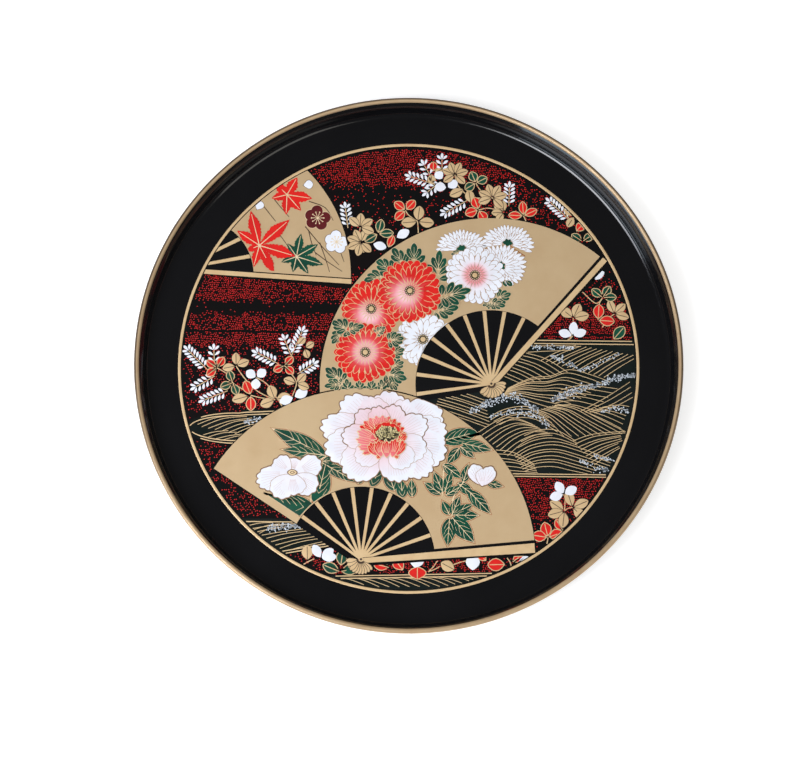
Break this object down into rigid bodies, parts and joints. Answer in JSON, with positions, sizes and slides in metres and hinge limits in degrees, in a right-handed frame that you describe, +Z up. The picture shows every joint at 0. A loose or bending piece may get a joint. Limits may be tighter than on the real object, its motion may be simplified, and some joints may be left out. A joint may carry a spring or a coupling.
{
  "type": "round serving tray",
  "caption": "Round black-lacquered serving tray with a low flared rim, a gold lip, a foot ring and a picture of folding fans, flowers and waves inside a gold line.",
  "frame": {"origin": "middle of the plane that the foot ring stands on", "axes": "+Z up, out of the tray's floor; +Y to the top of the picture; +X to its right"},
  "size_m": [0.33, 0.33, 0.0225],
  "materials": {
    "black_lacquer": "deep black lacquer on a moulded wood and resin core, high gloss",
    "gold_lip": "gold powder lacquer on the lip and rivets, satin to bright",
    "gold_line": "pale gold raised line, satin",
    "gold_leaf": "fine gold powder, satin and very slightly grained",
    "speckled_ground": "black lacquer with bands of small dark red dots",
    "water_coat": "very dark green lacquer with gold wave lines and pale foam dots",
    "red_enamel": "vermilion enamel, low relief, gloss",
    "dark_red_enamel": "plum red enamel, low relief, gloss",
    "green_enamel": "deep green enamel, low relief, gloss",
    "white_enamel": "cool white enamel, low relief, gloss"
  },
  "bodies": {
    "root": {"base_board": "black_lacquer", "rim_ring": "black_lacquer", "lip_band": "gold_lip", "foot_ring": "black_lacquer", "picture_ground": "speckled_ground", "picture_border": "gold_line", "sea_panel": "water_coat", "stream_left": "water_coat", "stream_lower_left": "water_coat", "stream_bottom": "water_coat", "maple_fan_backing": "black_lacquer", "maple_fan_leaf": "gold_leaf", "maple_fan_guard": "gold_line", "maple_fan_rib_lower": "gold_line", "maple_fan_rib_upper": "gold_line", "chrysanthemum_fan_backing": "black_lacquer", "chrysanthemum_fan_leaf": "gold_leaf", "chrysanthemum_fan_guard": "gold_line", "chrysanthemum_fan_ribs": "gold_line", "chrysanthemum_fan_rivet": "gold_lip", "peony_fan_backing": "black_lacquer", "peony_fan_leaf": "gold_leaf", "peony_fan_guard": "gold_line", "peony_fan_ribs": "gold_line", "peony_fan_rivet": "gold_lip"}
  },
  "joints": []
}
